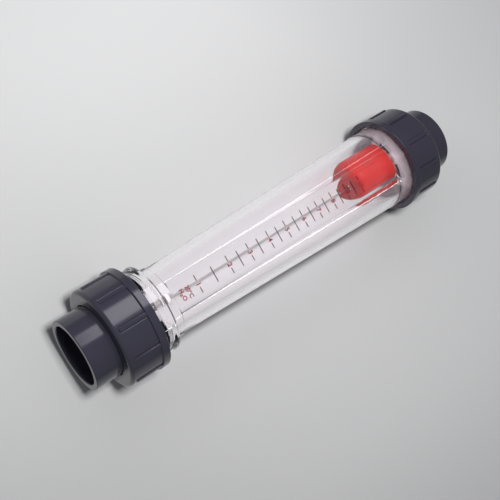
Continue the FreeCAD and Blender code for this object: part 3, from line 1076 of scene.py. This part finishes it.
@dataclass
class Float:
    """Red float with its ballast, plug and steel bushes."""

    radius: float = 27.5
    nose_round: float = 19.0
    floor: float = 25.0  # height of the hollow's floor over the nose
    wall: float = 3.5
    core: float = 7.95
    bush_hole: float = 4.45
    pocket: float = 6.65
    recess: float = 3.5
    flange: float = 1.5
    plug_play: float = 0.1
    ballast_play: float = 0.2
    bush_bore: float = 2.06
    bush_stem: float = 4.4
    bush_flange: float = 6.6

    def build(self) -> None:
        """Make every piece of the float."""
        low, high = span("float_shell")
        cap_low, _ = span("float_cap")
        ring_low, ring_high = span("float_ballast")
        hollow, floor = self.radius - self.wall, low + self.floor
        pocket, lid = low + self.recess + self.flange, high - self.flange
        shell = [(self.pocket, low, 0.5), (self.radius, low, self.nose_round),
                 (self.radius, high, 0.5), (hollow, high, 0.3), (hollow, floor, 1.0),
                 (self.core, floor, 1.0), (self.core, cap_low, 0.2),
                 (self.bush_hole, cap_low, 0.2), (self.bush_hole, pocket, 0.1),
                 (self.pocket, pocket, 0.2)]
        edge = hollow - self.plug_play
        plug = [(self.bush_hole, cap_low, 0.2), (edge, cap_low, 0.4), (edge, high, 0.4),
                (self.pocket, high, 0.2), (self.pocket, lid, 0.1), (self.bush_hole, lid, 0.1)]
        inner, outer = self.core + self.ballast_play, hollow - self.ballast_play
        ballast = [(inner, ring_low, 0.5), (outer, ring_low, 0.5), (outer, ring_high, 0.5),
                   (inner, ring_high, 0.5)]
        for name, corners, steps, cells, finish, node in (
                ("float_body", shell, 14, 160, RED, "float_shell"),
                ("float_plug", plug, 4, 128, RED, "float_cap"),
                ("ballast_ring", ballast, 3, 96, STEEL, "float_ballast")):
            piece = add_piece(name, lathe(rounded(corners, steps), cells), Body.FLOAT,
                              finish, [node])
            piece.visible_shadow = False
        low, high = span("nose_bush")
        self._bush("nose_bush", low, low + self.flange, high)
        low, high = span("cap_bush")
        self._bush("cap_bush", high, high - self.flange, low)

    def _bush(self, node: str, face: float, shoulder: float, tip: float) -> None:
        """Turn a bush with its flange.

        Args:
            node: CAD node that it replaces.
            face: height of the flange's outer face.
            shoulder: height of its inner face.
            tip: height of the stem's end.
        """
        corners = [(self.bush_bore, face, 0.3), (self.bush_flange, face, 0.3),
                   (self.bush_flange, shoulder, 0.2), (self.bush_stem, shoulder, 0.2),
                   (self.bush_stem, tip, 0.3), (self.bush_bore, tip, 0.2)]
        add_piece(node + "_turned", lathe(rounded(corners, 4), 72), Body.FLOAT, STEEL, [node])


# ---- printed scale ----------------------------------------------------------------------

@dataclass
class Scale:
    """Scale printed on the flat panel: full marks with figures, half marks and the unit.

    Args:
        tube: the tube that carries the print.
        marks: reading and height of each mark.
        units: text, height and offset across of each line under the marks.
    """

    tube: Tube
    marks: tuple[Point, ...] = (
        (1, 128.1), (1.5, 147.3), (2, 166.2), (2.5, 178.8), (3, 191.8), (3.5, 204.1),
        (4, 217.4), (4.5, 228.6), (5, 239.9), (5.5, 251.4), (6, 262.5), (6.5, 272.6),
        (7, 282.5), (7.5, 292.4), (8, 302.8), (8.5, 312.6), (9, 322.4), (9.5, 332.2),
        (10, 342.0))
    units: tuple[tuple[str, float, float], ...] = (("20°C", 116.2, 1.8),
                                                   ("H₂O", 109.2, 1.4))
    reach: float = 9.6
    half_share: float = 0.86  # length of a half mark, as a share of a full one
    gap: float = 3.6
    wide_gap: float = 4.6  # for a figure of two digits
    line: float = 1.0
    figure: float = 7.0
    figure_shift: float = 0.4
    unit: float = 6.2
    weight: float = 0.028  # thickening of the letters, as a share of their size
    film: float = 0.03

    def build(self) -> None:
        """Print the marks, the figures and the unit."""
        self._print_marks()
        words = [(f"{value:g}", height, self.figure_shift, self.figure)
                 for value, height in self.marks if value == int(value)]
        self._print_words(words + [(*unit, self.unit) for unit in self.units])

    def _lay(self, bm: bmesh.types.BMesh) -> None:
        """Move a print drawn at y = 0 onto the sloping face of the panel."""
        for vert in bm.verts:
            vert.co.y -= (self.tube.face(vert.co.z / MM) + self.film) * MM

    def _print_marks(self) -> None:
        """Print every mark as a thin film of ink."""
        bm = bmesh.new()
        for value, height in self.marks:
            gap = self.gap if value < 10 else self.wide_gap
            half = self.reach * self.half_share
            parts = [(-self.reach, -gap), (gap, self.reach)] if value == int(value) else [
                (-half, half)]
            for left, right in parts:
                mesh = finished("mark", block(
                    (left, -self.film / 2, height - self.line / 2),
                    (right, self.film / 2, height + self.line / 2)))
                bm.from_mesh(mesh)
                bpy.data.meshes.remove(mesh)
        self._lay(bm)
        add_piece("scale_marks", bm, Body.TUBE, INK_DARK)

    def _print_words(self, words: Sequence[tuple[str, float, float, float]]) -> None:
        """Print figures and units.

        Args:
            words: text, height of its middle, offset across and letter size.
        """
        bm = bmesh.new()
        for text, height, across, size in words:
            curve = bpy.data.curves.new("figure", "FONT")
            curve.body = text
            curve.size = size * MM
            curve.align_x = curve.align_y = "CENTER"
            curve.extrude = self.film / 2 * MM
            curve.offset = self.weight * size * MM
            curve.resolution_u = 5
            helper = placed("figure", curve)
            bpy.context.view_layer.update()
            graph = bpy.context.evaluated_depsgraph_get()
            mesh = bpy.data.meshes.new_from_object(helper.evaluated_get(graph))
            mesh.transform(Matrix.Translation((across * MM, 0, height * MM))
                           @ Matrix.Rotation(math.pi / 2, 4, "X"))
            bm.from_mesh(mesh)
            bpy.data.meshes.remove(mesh)
            bpy.data.objects.remove(helper)
            bpy.data.curves.remove(curve)
        bmesh.ops.remove_doubles(bm, verts=bm.verts, dist=1e-7)
        self._lay(bm)
        add_piece("scale_figures", bm, Body.TUBE, INK_RED)


# ---- studio -----------------------------------------------------------------------------

@dataclass(frozen=True)
class Lamp:
    """Rectangular lamp aimed at a point.

    Args:
        name: its name.
        place: position.
        aim: point that it faces.
        size: width and height.
        power: in watts.
        colour: linear colour.
        reflected: whether gloss shows it.
    """

    name: str
    place: tuple[float, float, float]
    aim: tuple[float, float, float]
    size: Point
    power: float
    colour: tuple[float, float, float] = (1.0, 1.0, 1.0)
    reflected: bool = True

    def build(self) -> bpy.types.Object:
        """Add the lamp to the scene.

        Returns:
            The lamp.
        """
        light = bpy.data.lights.new(self.name, "AREA")
        light.shape = "RECTANGLE"
        light.size, light.size_y = self.size
        light.energy = self.power
        light.color = self.colour
        lamp = placed(self.name, light)
        lamp.location = self.place
        way = Vector(self.aim) - Vector(self.place)
        lamp.rotation_euler = way.to_track_quat("-Z", "Y").to_euler()
        lamp.visible_glossy = self.reflected
        lamp.visible_transmission = lamp.visible_camera = False
        return lamp


@dataclass(frozen=True)
class Patch:
    """Patch of soft shadow painted on the backdrop's grey.

    Args:
        left: where it starts and is full, across.
        right: where it ends and is full, across.
        foot: where it starts and is full, upwards.
        head: where it ends and is full, upwards.
        depth: share of the light that it takes away.
        leans: how far its left and right side move across in each metre of height.
    """

    left: Point
    right: Point
    foot: Point
    head: Point
    depth: float
    leans: Point = (0.0, 0.0)


class Studio:
    """Pale floor and backdrop, soft lamps and the camera."""

    CAMERA_PLACE = (-0.0782, -0.7980, -0.1822)
    RIGHT = (0.4878, -0.4261, 0.7619)
    UP = (-0.8683, -0.1466, 0.4739)
    AHEAD = (0.0902, 0.8927, 0.4415)
    LENS = 62.09
    MIDDLE = (0.0, 0.0, 0.24)

    HALF_SHEET = 4.0
    FLOOR_LEVEL = -0.0004
    FLOOR_GRADE = (0.0, 0.0, 0.0, 0.80)
    FLOOR_FADE = (0.5, 1.5)
    BACK = 0.056  # distance of the backdrop behind the axis
    BACK_GRADE = (-0.452, 0.0, 0.487, 0.636)
    GREYS = (0.45, 0.92)  # darkest and palest grey of a sheet

    # The tube's shadow, painted on the backdrop's grey: its right and left edge, what lies
    # between them, and two wide veils of painted shade.
    FOOT, HEAD, LEAN = (0.09, 0.11), (0.47, 0.45), 0.0312
    PAINTED_SHADOW = (
        Patch((0.026, 0.041), (0.0515, 0.041), FOOT, HEAD, 0.72, (LEAN, LEAN)),
        Patch((-0.030, -0.024), (-0.010, -0.020), FOOT, HEAD, 0.30, (-LEAN, -LEAN)),
        Patch((-0.030, -0.020), (0.043, 0.039), FOOT, HEAD, 0.16, (-LEAN, LEAN)),
        Patch((-0.02, 0.05), (0.16, 0.05), (-0.05, 0.12), (0.62, 0.40), 0.12),
        Patch((-0.30, -0.03), (0.30, 0.05), (-0.15, 0.10), (0.85, 0.45), 0.12))

    # Colour and strength of the world's light, and of what the eye meets.
    FILL = ((0.93, 0.95, 1.0, 1.0), 0.18)
    SEEN = ((0.80, 0.80, 0.81, 1.0), 1.0)
    THROUGH = 0.55  # share of the latter that shows through clear plastic
    GLOSS = 0.12  # share of it that gloss shows

    # Name, turn from the camera in degrees and power of each strip.
    STRIPS = (("strip_right", 67.0, 2.6), ("strip_left", -47.0, 1.2))
    STRIP_SIZE = (0.05, 1.1)
    STRIP_HEIGHT = 0.86
    STRIP_REACH = 1.2

    def build(self) -> None:
        """Set the stage, the lamps, the world and the camera."""
        self._stage()
        self._world()
        self._lamps()
        self._camera()
        bpy.context.scene.view_settings.view_transform = "Standard"

    def _sheet(self, name: str, corners: Sequence[Sequence[float]], grade: Sequence[float],
               with_painted_shadow: bool = False, fade: Point | None = None) -> bpy.types.Object:
        """One large flat sheet whose face points the way its corners turn.

        Args:
            name: its name.
            corners: its four corners, counter-clockwise from its face.
            grade: gradient of its grey, as _paper takes it.
            with_painted_shadow: whether the tube's soft shadow is painted on it.
            fade: distances from the origin over which it gives way to the surroundings.

        Returns:
            The sheet, marked as stage.
        """
        bm = bmesh.new()
        bm.faces.new([bm.verts.new(corner) for corner in corners])
        mesh = finished(name, bm)
        mesh.materials.append(self._paper(name, grade, with_painted_shadow, fade))
        sheet = placed(name, mesh)
        sheet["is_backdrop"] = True
        return sheet

    def _paper(self, name: str, grade: Sequence[float], with_painted_shadow: bool,
               fade: Point | None) -> bpy.types.Material:
        """Matt paper that only its face shows, graded softly.

        Args:
            name: name of the sheet.
            grade: change of the grey in each metre along X, Y and Z, and its level at
                the origin.
            with_painted_shadow: whether the tube's soft shadow is painted on it.
            fade: distances from the origin over which it gives way to the surroundings.

        Returns:
            The sheet's material.
        """
        material = bpy.data.materials.new(name + "_paper")
        graph = Graph(material)
        graph.nodes.clear()
        darkest, palest = self.GREYS
        level = graph.calc("ADD", graph.along(grade[:3]), grade[3])
        level = graph.calc("MAXIMUM", graph.calc("MINIMUM", level, palest), darkest)
        # The tube's soft shadow is painted into the paper's grey here, not cast by a lamp.
        if with_painted_shadow:
            level = graph.calc("MULTIPLY", level, self._painted_shadow(graph))
        face = graph.add("NewGeometry")
        gone = face.outputs["Backfacing"]
        if fade:
            far = graph.add("VectorMath", {0: face.outputs["Position"]}, operation="LENGTH")
            gone = graph.calc("MAXIMUM", gone, graph.ramp(far.outputs["Value"], fade))
        graph.show("OutputMaterial", gone, graph.add("BsdfDiffuse", {"Color": level}),
                   graph.add("BsdfTransparent"))
        return material

    def _painted_shadow(self, graph: Graph) -> bpy.types.NodeSocket:
        """Painted shadow of the clear tube, for the eye alone: pale, with darker edges.

        Args:
            graph: nodes of the sheet's material.

        Returns:
            Socket with the share of light that is left.
        """
        light = 1.0
        height = graph.along((0.0, 0.0, 1.0))
        eye = graph.add("LightPath").outputs["Is Camera Ray"]
        for patch in self.PAINTED_SHADOW:
            left, right = (graph.along((1.0, 0.0, -lean)) for lean in patch.leans)
            shade = graph.ramp(left, patch.left, patch.depth)
            for value, ends in ((right, patch.right), (height, patch.foot),
                                (height, patch.head)):
                shade = graph.calc("MULTIPLY", shade, graph.ramp(value, ends))
            shade = graph.calc("MULTIPLY", shade, eye)
            light = graph.calc("MULTIPLY", light, graph.calc("SUBTRACT", 1.0, shade))
        return light

    def _stage(self) -> None:
        """Lay the floor under the meter and hang the backdrop behind it."""
        places = [(x * self.HALF_SHEET, y * self.HALF_SHEET)
                  for x, y in ((-1, -1), (1, -1), (1, 1), (-1, 1))]
        floor = self._sheet("floor", [(x, y, self.FLOOR_LEVEL) for x, y in places],
                            self.FLOOR_GRADE, fade=self.FLOOR_FADE)
        floor.visible_diffuse = floor.visible_glossy = False
        floor.visible_transmission = floor.visible_shadow = False
        # The backdrop carries the tube's painted shadow.
        backdrop = self._sheet("backdrop", [(x, self.BACK, z) for x, z in places],
                               self.BACK_GRADE, with_painted_shadow=True)
        backdrop.visible_shadow = False

    def _world(self) -> None:
        """Even pale surroundings, brighter where the eye or a reflection meets them."""
        world = bpy.data.worlds.new("studio")
        bpy.context.scene.world = world
        graph = Graph(world)
        graph.nodes.clear()
        ray = graph.add("LightPath").outputs
        seen = graph.calc("MAXIMUM", ray["Is Camera Ray"],
                          graph.calc("MULTIPLY", ray["Is Transmission Ray"], self.THROUGH))
        gloss = graph.calc("MULTIPLY_ADD", ray["Is Glossy Ray"], self.GLOSS, seen)
        gloss.node.use_clamp = True
        graph.show("OutputWorld", gloss, *(
            graph.add("Background", {"Color": colour, "Strength": strength})
            for colour, strength in (self.FILL, self.SEEN)))

    def _lamps(self) -> None:
        """Softbox up and to the left of the scale, a lamp by the camera, a dim back fill.

        The softbox leaves the backdrop to the lamp by the camera, whose shadow is short and
        soft. Two strips draw a bright line beside the panel and light nothing else.
        """
        softbox = Lamp("softbox", (-0.66, -1.00, 0.60), self.MIDDLE, (0.80, 0.60), 6.2,
                       (0.96, 0.92, 1.0)).build()
        self._limit(softbox, "backdrop", "EXCLUDE")
        beside = Vector(self.RIGHT) * 0.83 + Vector(self.UP) * 0.56
        near = Vector(self.CAMERA_PLACE) + beside * 0.20
        front = Lamp("front", tuple(near * 1.05), self.MIDDLE, (0.15, 0.15), 8.2,
                     reflected=False).build()
        self._limit(front, "floor", "EXCLUDE")
        Lamp("back_fill", (0.4, 1.9, 1.3), self.MIDDLE, (1.6, 1.6), 20.0,
             reflected=False).build()
        x, y, _ = self.CAMERA_PLACE
        for name, turn, power in self.STRIPS:
            way = math.atan2(y, x) + math.radians(turn)
            place = (self.STRIP_REACH * math.cos(way), self.STRIP_REACH * math.sin(way),
                     self.STRIP_HEIGHT)
            strip = Lamp(name, place, (0.0, 0.0, self.STRIP_HEIGHT), self.STRIP_SIZE,
                         power).build()
            strip.data.cycles.max_bounces = 0
            self._limit(strip, "clear_tube", "INCLUDE")

    @staticmethod
    def _limit(lamp: bpy.types.Object, name: str, state: str) -> None:
        """Keep a lamp to one object, or off it.

        Args:
            lamp: the lamp.
            name: the object's name.
            state: "INCLUDE" or "EXCLUDE".
        """
        group = bpy.data.collections.new(lamp.name + "_receivers")
        group.objects.link(bpy.data.objects[name])
        for entry in group.collection_objects:
            entry.light_linking.link_state = state
        lamp.light_linking.receiver_collection = group

    def _camera(self) -> None:
        """Place the camera."""
        data = bpy.data.cameras.new("camera")
        data.lens = self.LENS
        data.sensor_width = 36.0
        data.clip_start = 0.01
        camera = placed("camera", data)
        turn = Matrix((self.RIGHT, self.UP, [-a for a in self.AHEAD])).transposed()
        camera.matrix_world = Matrix.Translation(self.CAMERA_PLACE) @ turn.to_4x4()
        bpy.context.scene.camera = camera


# ---- whole meter ------------------------------------------------------------------------

def write_size() -> None:
    """Bring the view layer up to date."""
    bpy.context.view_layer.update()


def main() -> None:
    """Dress the meter and set up the studio."""
    logging.basicConfig(level=logging.INFO)
    tube = Tube()
    tube.build()
    Coupling(End.LOWER, Body.LOWER_TAIL, Body.LOWER_NUT, -3.6).build()
    Coupling(End.UPPER, Body.UPPER_TAIL, Body.UPPER_NUT, 11.1).build()
    RodSet().build()
    Float().build()
    Scale(tube).build()
    Studio().build()
    write_size()
    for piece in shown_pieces():
        LOG.info("piece %s, %d faces", piece.name, len(piece.data.polygons))


if __name__ == "__main__":
    main()
